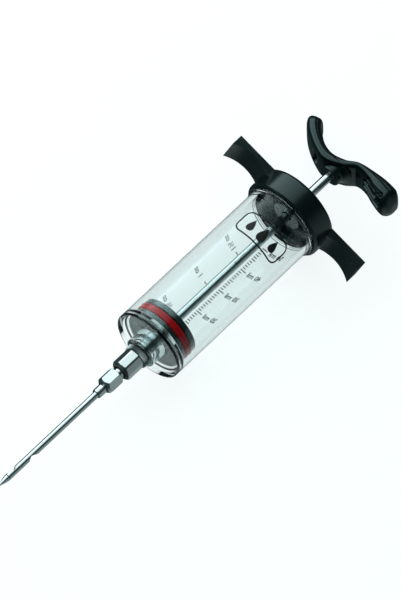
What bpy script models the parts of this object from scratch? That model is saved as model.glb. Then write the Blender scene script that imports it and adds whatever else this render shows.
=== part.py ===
"""A hand-held meat injector lying on its side, modelled as the pieces it comes apart into.

Every piece is made in the axis frame: the origin is on the barrel's axis at the barrel's front rim,
+X runs back towards the handle, +Y runs along the finger wings and +Z is up. One empty then carries
that frame to the place where the injector lies, centred on the world's origin.
"""

import math

import bmesh
import bpy
from mathutils import Matrix, Vector

MM = 0.001
GAP = 0.3 * MM  # clearance between pieces that touch on the real object

# Rounded pieces: the number of sides by size
BIG_SIDES = 48
SMALL_SIDES = 24
RING_SIDES = 8
ROUND_MIDDLE = 0.3  # how far in the middle point of a two-facet round lies, as a share of it

# Barrel
BARREL_R = 17.2 * MM
BORE_R = 15.0 * MM
BARREL_END_X = 92.0 * MM
RIM_INNER_R = 15.5 * MM
RIM_CHAMFER_X = 1.6 * MM
RECESS_X = 3.0 * MM
FRONT_WALL_X = 4.3 * MM
BOSS_R = 7.3 * MM
BOSS_X = -4.8 * MM
BEAD_X = 83.7 * MM
BEAD_WIDTH = 1.2 * MM
BEAD_R = 18.2 * MM
THREAD_R = 17.7 * MM
THREAD_PITCH = 3.0 * MM
THREAD_X = 86.6 * MM
THREAD_TURNS = 1.4
THREAD_FOOT = 0.3  # half widths of the ridge as shares of the pitch
THREAD_CREST = 0.12
THREAD_RUN_OUT = 0.25  # turns over which the ridge fades at each end

# Nozzle, its lock ring and washer
SHANK_R = 3.4 * MM
NOZZLE_R = 5.1 * MM
NOZZLE_SIDES = 8
NOZZLE_FLATS = 9.7 * MM
NOZZLE_TURN = 9.0
NOZZLE_FRONT_X = -17.0 * MM
NOZZLE_BACK_X = -8.3 * MM
NOZZLE_CHAMFER = 0.6 * MM
MOUTH_R = 4.2 * MM
MOUTH_END_X = -16.3 * MM
SOCKET_R = 3.8 * MM
SOCKET_END_X = -11.0 * MM
FLOW_R = 1.2 * MM
LOCK_RING_R = 5.8 * MM
LOCK_RING_TOOTH = 0.35 * MM
LOCK_RING_TEETH = 48
LOCK_RING_X = (-8.0 * MM, -5.1 * MM)
WASHER_X = (-4.7 * MM, -3.9 * MM)
WASHER_R = 5.0 * MM

# Needle
NEEDLE_TIP_X = -94.7 * MM
NEEDLE_CONE_X = -88.5 * MM
NEEDLE_R = 1.53 * MM
NEEDLE_BORE_R = 1.05 * MM
NEEDLE_END_X = -13.0 * MM
TIP_SHANK = 1.2 * MM
POINT_WAIST = (0.5, 0.66)  # share of the point's length, share of the needle's radius
POINT_BLUNT = (0.04, 0.14)
PORT_LENGTH = 5.4 * MM
PORT_DEPTH = 1.25 * MM
FRONT_PORT_X = -84.9 * MM
BACK_PORT_X = -73.4 * MM
SLEEVE_X = (-32.6 * MM, -28.3 * MM)
SLEEVE_R = 2.3 * MM
HUB_HEX_X = (-27.8 * MM, -19.6 * MM)
HUB_FLATS = 7.5 * MM
HUB_CHAMFER = 1.4 * MM
HUB_BACK_CHAMFER = 0.8 * MM
HUB_TURN = 9.5
HUB_NECK_R = 2.6 * MM
HUB_SCREW_X = (-16.1 * MM, -12.6 * MM)
HUB_SCREW_R = 3.5 * MM
NEEDLE_PITCH = 1.25 * MM
NEEDLE_RING_X = -17.2 * MM
NEEDLE_GASKET_X = (-12.3 * MM, -11.3 * MM)

# Plunger
ROD_R = 2.1 * MM
ROD_SPIGOT_R = 1.5 * MM
ROD_SHOULDER_X = 15.2 * MM
ROD_END_X = 120.6 * MM
PLATE_R = 14.3 * MM
FRONT_PLATE_X = (4.6 * MM, 6.9 * MM)
BACK_PLATE_X = (10.9 * MM, 13.8 * MM)
PLATE_EDGE = 0.4 * MM
PLATE_HUB_R = 4.0 * MM
SEAL_X = (7.2 * MM, 10.6 * MM)
SEAL_R = 14.7 * MM
SEAL_GROOVE = 0.7 * MM
SEAL_BORE_R = 7.3 * MM
PISTON_WASHER_R = 4.6 * MM
PISTON_WASHER_X = (14.1 * MM, 14.9 * MM)

# Finger cap, which screws on the back of the barrel
CAP_R = 19.8 * MM
CAP_BORE_R = 18.0 * MM
CAP_X = (85.2 * MM, 96.8 * MM)
CAP_WALL_X = 93.6 * MM
CAP_LIP_R = 18.7 * MM
CAP_LIP_CHAMFER = 0.9 * MM
CAP_BACK_ROUND = 1.6 * MM
CAP_DRAFT = 0.1 * MM
WING_SPAN = 37.8 * MM
WING_WIDTH = 16.0 * MM
WING_BACK_X = 96.2 * MM
WING_WAIST_X = 93.8 * MM
WING_WAIST_Y = 27.0 * MM
WING_SCALLOP_R = 20.0 * MM
WING_ROOT_Y = 14.0 * MM
WING_EDGE = 0.9 * MM
WING_STEPS = 8  # facets along each scallop
GASKET_X = (92.3 * MM, 93.3 * MM)
GASKET_R = (13.0 * MM, 17.4 * MM)

# Rod guide in the middle of the cap
BUSH_X = (88.0 * MM, 99.4 * MM)
BUSH_FLANGE_R = 7.0 * MM
BUSH_FLANGE = 1.8 * MM
BUSH_BODY_R = 5.5 * MM
BUSH_TUBE_R = 3.8 * MM
BUSH_GROOVE_X = (90.6 * MM, 92.5 * MM)
BUSH_GROOVE_R = 4.0 * MM
WIPER_R = 0.65 * MM
BUSH_NUT_X = (97.1 * MM, 99.0 * MM)
BUSH_NUT_FLATS = 11.0 * MM

# Handle: the wings sweep back from the boss, and the far one is the shorter
HANDLE_TURN = -22.0
HANDLE_BOSS_X = 115.6 * MM
HANDLE_BOSS_R = 5.2 * MM
HANDLE_BOSS_END_X = 119.6 * MM
HANDLE_SOCKET_END_X = 121.2 * MM
HANDLE_BACK_X = 134.7 * MM
INSERT_R = 3.5 * MM
INSERT_X = (116.4 * MM, 120.8 * MM)
# Spine points from tip to tip: x, y, thickness along the sweep, width across it, in millimetres
HANDLE_SPINE = (
    (134.0, 22.5, 6.0, 10.5),
    (131.0, 21.4, 6.6, 14.5),
    (126.6, 17.4, 6.6, 16.4),
    (122.2, 11.0, 5.8, 16.8),
    (120.0, 4.0, 6.0, 16.8),
    (121.7, -3.4, 4.6, 16.8),
    (124.7, -8.8, 3.9, 17.0),
    (124.6, -15.5, 6.0, 17.2),
    (123.4, -22.0, 9.0, 17.4),
    (122.2, -27.2, 9.6, 16.0),
    (121.9, -30.7, 6.2, 11.0),
)
SPINE_STEPS = 2
SECTION_POWER = 0.5  # 1 would make each section an ellipse; less makes it squarer
GRIP_SLOT_Y = (-19.5 * MM, 12.5 * MM)
GRIP_SLOT_LENGTH = 9.0 * MM
GRIP_SLOT_WIDTH = 1.5 * MM
GRIP_SLOT_PITCH = 3.4 * MM
GRIP_SLOT_DEPTH = 1.6 * MM
GRIP_SLOT_END_STEPS = 4  # facets round each end

# Where the injector lies
AXIS_HEIGHT = CAP_R * math.cos(math.pi / BIG_SIDES)
CENTRE_X = (NEEDLE_TIP_X + HANDLE_BACK_X) / 2

SHARP = math.radians(35)


def clear_scene():
    for obj in list(bpy.data.objects):
        bpy.data.objects.remove(obj, do_unlink=True)


def make_material(name, colour, roughness, metallic=0.0, alpha=1.0):
    material = bpy.data.materials.new(name)
    material.use_nodes = True
    shader = material.node_tree.nodes["Principled BSDF"]
    shader.inputs["Base Color"].default_value = (*colour, 1.0)
    shader.inputs["Roughness"].default_value = roughness
    shader.inputs["Metallic"].default_value = metallic
    shader.inputs["Alpha"].default_value = alpha
    material.diffuse_color = (*colour, alpha)
    return material


def add_empty(name, parent=None, turn=0.0):
    empty = bpy.data.objects.new(name, None)
    bpy.context.collection.objects.link(empty)
    empty.parent = parent
    empty.rotation_euler = (math.radians(turn), 0.0, 0.0)
    return empty


def add_object(name, mesh_data, parent, material=None):
    """One smooth object from a bmesh; with no material it is a helper that never renders."""
    bmesh.ops.remove_doubles(mesh_data, verts=mesh_data.verts, dist=1e-7)
    bmesh.ops.recalc_face_normals(mesh_data, faces=mesh_data.faces)
    mesh = bpy.data.meshes.new(name)
    mesh_data.to_mesh(mesh)
    mesh_data.free()
    mesh.shade_smooth()
    mesh.set_sharp_from_angle(angle=SHARP)
    obj = bpy.data.objects.new(name, mesh)
    bpy.context.collection.objects.link(obj)
    obj.parent = parent
    if material is None:
        obj.hide_render = True
        obj.display_type = "WIRE"
    else:
        mesh.materials.append(material)
    return obj


def combine(target, helper, operation):
    modifier = target.modifiers.new(helper.name, "BOOLEAN")
    modifier.operation = operation
    modifier.object = helper


def turned(profile, sides):
    """A closed outline of (x, radius) points turned about the X axis, with one flat straight down."""
    mesh_data = bmesh.new()
    half = math.pi / sides
    verts = [
        mesh_data.verts.new((x, -radius * math.sin(half), radius * math.cos(half)))
        for x, radius in profile
    ]
    edges = [mesh_data.edges.new((a, b)) for a, b in zip(verts, verts[1:] + verts[:1])]
    bmesh.ops.spin(
        mesh_data,
        geom=verts + edges,
        cent=(0, 0, 0),
        axis=(1, 0, 0),
        angle=math.tau,
        steps=sides,
        use_merge=True,
    )
    return mesh_data


def ring_profile(x_range, inner, outer, edge=0.0):
    """The outline of a plain ring or washer, with its two outer edges chamfered."""
    low, high = x_range
    if not edge:
        return [(low, inner), (low, outer), (high, outer), (high, inner)]
    return [
        (low, inner),
        (low, outer - edge),
        (low + edge, outer),
        (high - edge, outer),
        (high, outer - edge),
        (high, inner),
    ]


def torus_profile(centre_x, centre_r, radius, points=RING_SIDES):
    angles = [math.tau * i / points for i in range(points)]
    return [(centre_x + radius * math.cos(a), centre_r + radius * math.sin(a)) for a in angles]


def bridged(rings):
    """A closed solid through a list of rings of points, with flat ends."""
    mesh_data = bmesh.new()
    rows = [[mesh_data.verts.new(point) for point in ring] for ring in rings]
    for first, second in zip(rows, rows[1:]):
        for i, vert in enumerate(first):
            j = (i + 1) % len(first)
            mesh_data.faces.new((vert, first[j], second[j], second[i]))
    mesh_data.faces.new(rows[0][::-1])
    mesh_data.faces.new(rows[-1])
    return mesh_data


def flat_sided_bar(x_range, sides, flats, turn=0.0):
    """A regular bar along X, this wide across its flats, its first corner turned from straight up."""
    corner = flats / 2 / math.cos(math.pi / sides)
    angles = [math.radians(turn) + math.tau * i / sides for i in range(sides)]
    return bridged(
        [[(x, -corner * math.sin(a), corner * math.cos(a)) for a in angles] for x in x_range]
    )


def ring_loops(x_range, outer_radii, inner_radius):
    """A ring whose outer outline takes one radius after another, for teeth."""
    mesh_data = bmesh.new()
    sides = len(outer_radii)
    loops = []
    for x, radii in (
        (x_range[0], [inner_radius] * sides),
        (x_range[0], outer_radii),
        (x_range[1], outer_radii),
        (x_range[1], [inner_radius] * sides),
    ):
        angles = [math.tau * i / sides for i in range(sides)]
        loops.append(
            [mesh_data.verts.new((x, r * math.sin(a), r * math.cos(a))) for r, a in zip(radii, angles)]
        )
    for first, second in zip(loops, loops[1:] + loops[:1]):
        for i in range(sides):
            j = (i + 1) % sides
            mesh_data.faces.new((first[i], first[j], second[j], second[i]))
    return mesh_data


def thread_ridge(start_x, root_r, crest_r, pitch, turns):
    """One helical ridge whose foot is buried in the wall it stands on."""
    steps = int(SMALL_SIDES * turns)
    foot, crest = THREAD_FOOT * pitch, THREAD_CREST * pitch
    fade = THREAD_RUN_OUT * SMALL_SIDES
    rings = []
    for i in range(steps + 1):
        angle = math.tau * turns * i / steps
        x = start_x + pitch * turns * i / steps
        # The ridge runs out of the wall at both ends
        rise = min(1.0, min(i, steps - i) / fade)
        top = root_r + (crest_r - root_r) * rise
        section = (
            (x - foot, root_r - GAP),
            (x - crest, top),
            (x + crest, top),
            (x + foot, root_r - GAP),
        )
        rings.append([(sx, -r * math.sin(angle), r * math.cos(angle)) for sx, r in section])
    return bridged(rings)


def make_barrel(parent, material):
    bore_in_boss = SHANK_R + GAP
    washer_seat_r = WASHER_R + GAP
    washer_seat_x = WASHER_X[1] + GAP
    profile = [
        (BARREL_END_X, BORE_R),
        (FRONT_WALL_X, BORE_R),
        (FRONT_WALL_X, bore_in_boss),
        (washer_seat_x, bore_in_boss),
        (washer_seat_x, washer_seat_r),
        (BOSS_X, washer_seat_r),
        (BOSS_X, BOSS_R - PLATE_EDGE),
        (BOSS_X + PLATE_EDGE, BOSS_R),
        (RECESS_X, BOSS_R),
        (RECESS_X, RIM_INNER_R),
        (RIM_CHAMFER_X, RIM_INNER_R),
        (0.0, BARREL_R - PLATE_EDGE),
        (PLATE_EDGE, BARREL_R),
        (BEAD_X, BARREL_R),
        (BEAD_X + BEAD_WIDTH / 4, BEAD_R),
        (BEAD_X + BEAD_WIDTH * 3 / 4, BEAD_R),
        (BEAD_X + BEAD_WIDTH, BARREL_R),
        (BARREL_END_X, BARREL_R),
    ]
    barrel = add_object("barrel", turned(profile, BIG_SIDES), parent, material)
    ridge = thread_ridge(THREAD_X, BARREL_R, THREAD_R, THREAD_PITCH, THREAD_TURNS)
    combine(barrel, add_object("barrel_thread", ridge, parent), "UNION")


def make_nozzle(parent, steel, rubber):
    profile = [
        (MOUTH_END_X, MOUTH_R),
        (NOZZLE_FRONT_X, MOUTH_R),
        (NOZZLE_FRONT_X, NOZZLE_R - NOZZLE_CHAMFER),
        (NOZZLE_FRONT_X + NOZZLE_CHAMFER, NOZZLE_R),
        (NOZZLE_BACK_X, NOZZLE_R),
        (NOZZLE_BACK_X, SHANK_R),
        (FRONT_WALL_X - GAP, SHANK_R),
        (FRONT_WALL_X - GAP, FLOW_R),
        (SOCKET_END_X, FLOW_R),
        (SOCKET_END_X, SOCKET_R),
        (MOUTH_END_X, SOCKET_R),
    ]
    nozzle = add_object("nozzle", turned(profile, BIG_SIDES), parent, steel)
    bar_x = (NOZZLE_FRONT_X - GAP, BARREL_END_X)
    bar = flat_sided_bar(bar_x, NOZZLE_SIDES, NOZZLE_FLATS, NOZZLE_TURN)
    combine(nozzle, add_object("nozzle_flats", bar, parent), "INTERSECT")

    tooth_radii = [LOCK_RING_R, LOCK_RING_R - LOCK_RING_TOOTH] * LOCK_RING_TEETH
    lock_ring = ring_loops(LOCK_RING_X, tooth_radii, SHANK_R + GAP)
    add_object("lock_ring", lock_ring, parent, steel)
    washer = ring_profile(WASHER_X, SHANK_R + GAP, WASHER_R)
    add_object("nozzle_washer", turned(washer, SMALL_SIDES), parent, rubber)
    gasket = ring_profile(NEEDLE_GASKET_X, FLOW_R + GAP, SOCKET_R - GAP)
    add_object("needle_gasket", turned(gasket, SMALL_SIDES), parent, rubber)


def port_cutter(centre_x, side):
    """An upright round cutter that scoops a lens-shaped port out of one side of the needle."""
    radius = (PORT_LENGTH**2 / 4 + PORT_DEPTH**2) / (2 * PORT_DEPTH)
    centre_y = side * (NEEDLE_R - PORT_DEPTH + radius)
    angles = [math.tau * i / SMALL_SIDES for i in range(SMALL_SIDES)]
    return bridged(
        [
            [(centre_x + radius * math.cos(a), centre_y + radius * math.sin(a), z) for a in angles]
            for z in (-2 * NEEDLE_R, 2 * NEEDLE_R)
        ]
    )


def make_needle(parent, steel, rubber):
    tube_start_x = NEEDLE_CONE_X + GAP
    tube = ring_profile((tube_start_x, NEEDLE_END_X), NEEDLE_BORE_R, NEEDLE_R)
    tube = add_object("needle_tube", turned(tube, SMALL_SIDES), parent, steel)
    for name, x, side in (("front_port", FRONT_PORT_X, 1), ("back_port", BACK_PORT_X, -1)):
        combine(tube, add_object(name, port_cutter(x, side), parent), "DIFFERENCE")

    cone_length = NEEDLE_CONE_X - NEEDLE_TIP_X
    shank_end_x = tube_start_x + TIP_SHANK
    tip = [
        (NEEDLE_TIP_X, 0.0),
        (NEEDLE_TIP_X + cone_length * POINT_BLUNT[0], NEEDLE_R * POINT_BLUNT[1]),
        (NEEDLE_TIP_X + cone_length * POINT_WAIST[0], NEEDLE_R * POINT_WAIST[1]),
        (NEEDLE_CONE_X, NEEDLE_R),
        (NEEDLE_CONE_X, NEEDLE_BORE_R - GAP),
        (shank_end_x, NEEDLE_BORE_R - GAP),
        (shank_end_x, 0.0),
    ]
    add_object("needle_tip", turned(tip, SMALL_SIDES), parent, steel)

    bore_r = NEEDLE_R + GAP / 2
    sleeve = ring_profile(SLEEVE_X, bore_r, SLEEVE_R, PLATE_EDGE)
    add_object("needle_sleeve", turned(sleeve, SMALL_SIDES), parent, steel)

    corner_r = HUB_FLATS / math.sqrt(3)
    hub = [
        (HUB_HEX_X[0], bore_r),
        (HUB_HEX_X[0], corner_r - HUB_CHAMFER),
        (HUB_HEX_X[0] + HUB_CHAMFER, corner_r),
        (HUB_HEX_X[1] - HUB_BACK_CHAMFER, corner_r),
        (HUB_HEX_X[1], corner_r - HUB_BACK_CHAMFER),
        (HUB_HEX_X[1], HUB_NECK_R),
        (HUB_SCREW_X[0], HUB_NECK_R),
        (HUB_SCREW_X[0], HUB_SCREW_R),
        (HUB_SCREW_X[1], HUB_SCREW_R),
        (HUB_SCREW_X[1], bore_r),
    ]
    hub = add_object("needle_hub", turned(hub, SMALL_SIDES), parent, steel)
    bar = flat_sided_bar((HUB_HEX_X[0] - GAP, 0.0), 6, HUB_FLATS, HUB_TURN)
    combine(hub, add_object("hub_flats", bar, parent), "INTERSECT")

    ring_r = (MOUTH_R - HUB_NECK_R - 2 * GAP) / 2
    ring = torus_profile(NEEDLE_RING_X, HUB_NECK_R + GAP + ring_r, ring_r)
    add_object("needle_ring", turned(ring, SMALL_SIDES), parent, rubber)


def make_piston(parent, seal_parent, plastic, silicone, steel):
    """Two plates clamp the seal on a core; the front plate's hub is screwed on the rod's spigot."""
    spigot_bore = ROD_SPIGOT_R + GAP
    front = [
        (FRONT_PLATE_X[0], 0.0),
        (FRONT_PLATE_X[0], PLATE_R - PLATE_EDGE),
        (FRONT_PLATE_X[0] + PLATE_EDGE, PLATE_R),
        (FRONT_PLATE_X[1], PLATE_R),
        (FRONT_PLATE_X[1], PLATE_HUB_R),
        (SEAL_X[1], PLATE_HUB_R),
        (SEAL_X[1], spigot_bore),
        (FRONT_PLATE_X[1], spigot_bore),
        (FRONT_PLATE_X[1], 0.0),
    ]
    add_object("piston_front_plate", turned(front, BIG_SIDES), parent, plastic)

    core = ring_profile(SEAL_X, PLATE_HUB_R + GAP, SEAL_BORE_R - GAP)
    add_object("piston_core", turned(core, SMALL_SIDES), parent, plastic)

    low, high = SEAL_X
    middle = (low + high) / 2
    lip = (high - low) / 4
    seal = [
        (low, SEAL_BORE_R),
        (low, SEAL_R - SEAL_GROOVE),
        (low + lip / 2, SEAL_R),
        (low + lip, SEAL_R),
        (middle, SEAL_R - SEAL_GROOVE),
        (high - lip, SEAL_R),
        (high - lip / 2, SEAL_R),
        (high, SEAL_R - SEAL_GROOVE),
        (high, SEAL_BORE_R),
    ]
    add_object("piston_seal", turned(seal, BIG_SIDES), seal_parent, silicone)

    back = ring_profile(BACK_PLATE_X, spigot_bore, PLATE_R, PLATE_EDGE)
    add_object("piston_back_plate", turned(back, BIG_SIDES), parent, plastic)
    washer = ring_profile(PISTON_WASHER_X, spigot_bore, PISTON_WASHER_R)
    add_object("piston_washer", turned(washer, SMALL_SIDES), parent, steel)


def make_rod(parent, steel):
    rod = [
        (FRONT_PLATE_X[1] + GAP, 0.0),
        (FRONT_PLATE_X[1] + GAP, ROD_SPIGOT_R),
        (ROD_SHOULDER_X, ROD_SPIGOT_R),
        (ROD_SHOULDER_X, ROD_R),
        (ROD_END_X, ROD_R),
        (ROD_END_X, 0.0),
    ]
    add_object("plunger_rod", turned(rod, SMALL_SIDES), parent, steel)


def wing_slab():
    """The finger wings as one slab across the cap, scalloped on the side that the fingers pull."""
    centre_x = WING_WAIST_X - WING_SCALLOP_R
    front = []
    for i in range(WING_STEPS + 1):
        y = WING_SPAN + (WING_ROOT_Y - WING_SPAN) * i / WING_STEPS
        front.append((centre_x + math.sqrt(WING_SCALLOP_R**2 - (y - WING_WAIST_Y) ** 2), y))
    outline = [(WING_BACK_X, WING_SPAN)] + front
    outline += [(x, -y) for x, y in reversed(outline)]
    mesh_data = bridged([[(x, y, z) for x, y in outline] for z in (-WING_WIDTH / 2, WING_WIDTH / 2)])
    rims = []
    for edge in mesh_data.edges:
        start, end = (vert.co for vert in edge.verts)
        if abs(start.z - end.z) < GAP or abs(start.y) > WING_SPAN - GAP:
            rims.append(edge)
    bmesh.ops.bevel(mesh_data, geom=rims, offset=WING_EDGE, segments=2, affect="EDGES", profile=0.5)
    return mesh_data


def make_cap(parent, plastic):
    low, high = CAP_X
    bush_hole = BUSH_TUBE_R + GAP
    profile = [
        (low, CAP_BORE_R),
        (low, CAP_LIP_R),
        (low + CAP_LIP_CHAMFER, CAP_R - CAP_DRAFT),
        (high - CAP_BACK_ROUND, CAP_R),
        (high - CAP_BACK_ROUND * ROUND_MIDDLE, CAP_R - CAP_BACK_ROUND * ROUND_MIDDLE),
        (high, CAP_R - CAP_BACK_ROUND),
        (high, bush_hole),
        (CAP_WALL_X, bush_hole),
        (CAP_WALL_X, CAP_BORE_R),
    ]
    cap = add_object("finger_cap", turned(profile, BIG_SIDES), parent, plastic)
    slab = add_object("wing_slab", wing_slab(), parent)
    hollow = add_object("cap_hollow", turned(hollow_profile(), BIG_SIDES), parent)
    combine(slab, hollow, "DIFFERENCE")
    combine(cap, slab, "UNION")


def hollow_profile():
    """The space inside the cap's skirt, which the wing slab must leave open."""
    margin = CAP_R - CAP_BORE_R
    radius = CAP_BORE_R + margin / 2
    return [(0.0, 0.0), (0.0, radius), (CAP_X[1] - GAP, radius), (CAP_X[1] - GAP, 0.0)]


def make_guide(parent, gasket_parent, plastic, rubber, steel):
    rod_bore = ROD_R + GAP
    low, high = BUSH_X
    shoulder_x = CAP_WALL_X - GAP
    bush = [
        (low, rod_bore),
        (low, BUSH_FLANGE_R),
        (low + BUSH_FLANGE, BUSH_FLANGE_R),
        (low + BUSH_FLANGE, BUSH_BODY_R),
        (shoulder_x, BUSH_BODY_R),
        (shoulder_x, BUSH_TUBE_R),
        (high, BUSH_TUBE_R),
        (high, rod_bore),
        (BUSH_GROOVE_X[1], rod_bore),
        (BUSH_GROOVE_X[1], BUSH_GROOVE_R),
        (BUSH_GROOVE_X[0], BUSH_GROOVE_R),
        (BUSH_GROOVE_X[0], rod_bore),
    ]
    add_object("guide_bush", turned(bush, SMALL_SIDES), parent, plastic)

    groove_middle = (BUSH_GROOVE_X[0] + BUSH_GROOVE_X[1]) / 2
    wiper = torus_profile(groove_middle, rod_bore + WIPER_R, WIPER_R)
    add_object("rod_wiper", turned(wiper, SMALL_SIDES), parent, rubber)

    nut_corner = BUSH_NUT_FLATS / math.sqrt(3)
    nut = ring_profile(BUSH_NUT_X, BUSH_TUBE_R + GAP, nut_corner, PLATE_EDGE)
    nut = add_object("bush_nut", turned(nut, SMALL_SIDES), parent, steel)
    bar_x = (BUSH_NUT_X[0] - GAP, BUSH_NUT_X[1] + GAP)
    bar = add_object("nut_flats", flat_sided_bar(bar_x, 6, BUSH_NUT_FLATS), parent)
    combine(nut, bar, "INTERSECT")

    gasket = ring_profile(GASKET_X, *GASKET_R)
    add_object("cap_gasket", turned(gasket, BIG_SIDES), gasket_parent, rubber)


def smooth_between(points, steps):
    """Points on a smooth curve (Catmull-Rom) through every given point."""
    padded = [points[0], *points, points[-1]]
    result = []
    for i in range(1, len(padded) - 2):
        p0, p1, p2, p3 = (Vector(p) for p in padded[i - 1 : i + 3])
        for k in range(steps):
            t = k / steps
            result.append(
                0.5
                * (
                    2 * p1
                    + (p2 - p0) * t
                    + (2 * p0 - 5 * p1 + 4 * p2 - p3) * t**2
                    + (3 * p1 - p0 - 3 * p2 + p3) * t**3
                )
            )
    result.append(Vector(points[-1]))
    return result


def handle_section(point, along):
    """A rounded rectangle square to the spine: thickness in the sweep's plane, width along Z."""
    across = Vector((-along.y, along.x, 0.0))
    x, y, thickness, width = (value * MM for value in point)
    ring = []
    for i in range(RING_SIDES * 2):
        angle = math.tau * (i + 0.5) / (RING_SIDES * 2)
        c, s = math.cos(angle), math.sin(angle)
        side = math.copysign(abs(c) ** SECTION_POWER, c) * thickness / 2
        up = math.copysign(abs(s) ** SECTION_POWER, s) * width / 2
        ring.append(Vector((x, y, 0.0)) + across * side + Vector((0.0, 0.0, up)))
    return ring


def make_handle(parent, plastic, brass):
    points = smooth_between(HANDLE_SPINE, SPINE_STEPS)
    rings = []
    for i, point in enumerate(points):
        before, after = points[max(i - 1, 0)], points[min(i + 1, len(points) - 1)]
        along = Vector((after[0] - before[0], after[1] - before[1], 0.0)).normalized()
        rings.append(handle_section(point, along))
    handle = add_object("handle", bridged(rings), parent, plastic)

    boss = ring_profile((HANDLE_BOSS_X, HANDLE_BOSS_END_X), 0.0, HANDLE_BOSS_R, PLATE_EDGE)
    combine(handle, add_object("handle_boss", turned(boss, SMALL_SIDES), parent), "UNION")
    socket = ring_profile((HANDLE_BOSS_X - GAP, HANDLE_SOCKET_END_X), 0.0, INSERT_R + GAP)
    combine(handle, add_object("handle_socket", turned(socket, SMALL_SIDES), parent), "DIFFERENCE")
    for wing, slot_y in enumerate(GRIP_SLOT_Y):
        for row in (-1, 0, 1):
            slot = grip_slot(points, slot_y, row * GRIP_SLOT_PITCH)
            name = f"grip_slot_{wing}_{row + 1}"
            combine(handle, add_object(name, slot, parent), "DIFFERENCE")

    insert = ring_profile(INSERT_X, ROD_R + GAP, INSERT_R, PLATE_EDGE)
    add_object("handle_insert", turned(insert, SMALL_SIDES), parent, brass)


def grip_slot(points, slot_y, slot_z):
    """A round-ended cutter that sinks one grip slot into the wing's front face."""
    nearest = min(range(1, len(points) - 1), key=lambda i: abs(points[i][1] * MM - slot_y))
    point = points[nearest]
    step = points[nearest + 1] - points[nearest - 1]
    along = Vector((step[0], step[1], 0.0)).normalized()
    front = Vector((along.y, -along.x, 0.0))
    if front.x > 0:
        front = -front
    face = Vector((point[0] * MM, point[1] * MM, slot_z)) + front * (point[2] * MM / 2)
    half = GRIP_SLOT_LENGTH / 2 - GRIP_SLOT_WIDTH / 2
    outline = []
    for end in (1, -1):
        for k in range(GRIP_SLOT_END_STEPS + 1):
            angle = math.pi / 2 - math.pi * k / GRIP_SLOT_END_STEPS
            reach = end * (half + GRIP_SLOT_WIDTH / 2 * math.cos(angle))
            rise = end * GRIP_SLOT_WIDTH / 2 * math.sin(angle)
            outline.append(along * reach + Vector((0.0, 0.0, rise)))
    depths = (-GRIP_SLOT_DEPTH, 2 * GRIP_SLOT_DEPTH)
    return bridged([[face + offset + front * depth for offset in outline] for depth in depths])


def main():
    clear_scene()
    clear = make_material("clear_plastic", (0.86, 0.91, 0.91), 0.08, alpha=0.35)
    steel = make_material("stainless_steel", (0.62, 0.66, 0.67), 0.22, 1.0)
    black = make_material("black_plastic", (0.015, 0.025, 0.025), 0.38)
    silicone = make_material("red_silicone", (0.48, 0.01, 0.02), 0.42)
    rubber = make_material("black_rubber", (0.02, 0.02, 0.02), 0.6)
    brass = make_material("plated_brass", (0.60, 0.62, 0.60), 0.3, 1.0)

    axis = add_empty("barrel_axis")
    axis.location = (-CENTRE_X, 0.0, AXIS_HEIGHT)
    needle = add_empty("needle_axis", axis)
    cap = add_empty("cap_axis", axis)
    plunger = add_empty("plunger_axis", axis, HANDLE_TURN)

    make_barrel(axis, clear)
    make_nozzle(axis, steel, rubber)
    make_needle(needle, steel, rubber)
    make_piston(plunger, axis, black, silicone, steel)
    make_rod(plunger, steel)
    make_cap(cap, black)
    make_guide(cap, axis, black, rubber, steel)
    make_handle(plunger, black, brass)


main()
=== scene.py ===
"""The look of a clear-barrelled meat injector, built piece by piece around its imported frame.

Shapes are in millimetres in the axis frame: x runs back along the barrel from its front rim, y
runs along the finger wings and z up from the barrel's axis. place() carries them into the CAD's
frame.
"""

import math

import bmesh
import bpy
from mathutils import Matrix, Vector


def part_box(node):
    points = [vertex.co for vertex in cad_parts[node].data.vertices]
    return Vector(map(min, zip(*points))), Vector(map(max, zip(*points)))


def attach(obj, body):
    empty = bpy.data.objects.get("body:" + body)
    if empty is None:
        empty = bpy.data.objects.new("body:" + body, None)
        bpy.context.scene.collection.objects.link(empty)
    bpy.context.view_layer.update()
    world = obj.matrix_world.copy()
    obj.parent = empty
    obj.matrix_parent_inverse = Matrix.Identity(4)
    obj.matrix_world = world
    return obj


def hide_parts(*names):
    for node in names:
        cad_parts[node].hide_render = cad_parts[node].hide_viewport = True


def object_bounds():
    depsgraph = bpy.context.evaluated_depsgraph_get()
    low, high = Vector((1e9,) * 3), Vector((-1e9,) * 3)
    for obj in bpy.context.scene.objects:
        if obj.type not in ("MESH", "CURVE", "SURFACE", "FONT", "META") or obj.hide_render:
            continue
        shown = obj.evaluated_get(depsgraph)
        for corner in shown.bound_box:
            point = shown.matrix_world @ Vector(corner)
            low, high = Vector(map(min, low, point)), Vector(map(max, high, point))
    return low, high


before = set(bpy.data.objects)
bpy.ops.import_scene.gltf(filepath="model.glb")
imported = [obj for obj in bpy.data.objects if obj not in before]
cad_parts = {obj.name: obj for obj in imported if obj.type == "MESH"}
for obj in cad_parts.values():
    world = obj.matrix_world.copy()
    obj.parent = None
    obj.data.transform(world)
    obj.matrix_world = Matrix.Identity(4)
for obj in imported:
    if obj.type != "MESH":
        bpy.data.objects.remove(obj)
CAD_LOW, CAD_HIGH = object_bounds()

MM = 0.001
BARREL_LENGTH = 92.0
BARREL_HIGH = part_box("barrel")[1]
AXIS_Z = sum(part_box("plunger_rod")[i].z for i in (0, 1)) / 2
ORIGIN = Vector((BARREL_HIGH.x - BARREL_LENGTH * MM, 0.0, AXIS_Z))
HANDLE_TURN = -22.0
PLUNGER_TURN = Matrix.Rotation(math.radians(HANDLE_TURN), 4, "X")
SHARP = math.radians(38)  # edges turned more than this stay crisp
BEVEL_FROM = math.radians(40)
WELD = 1e-6
TOOL_WELD = 1e-7
ON_AXIS = 1e-6  # a radius under this is a point on the axis


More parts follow.
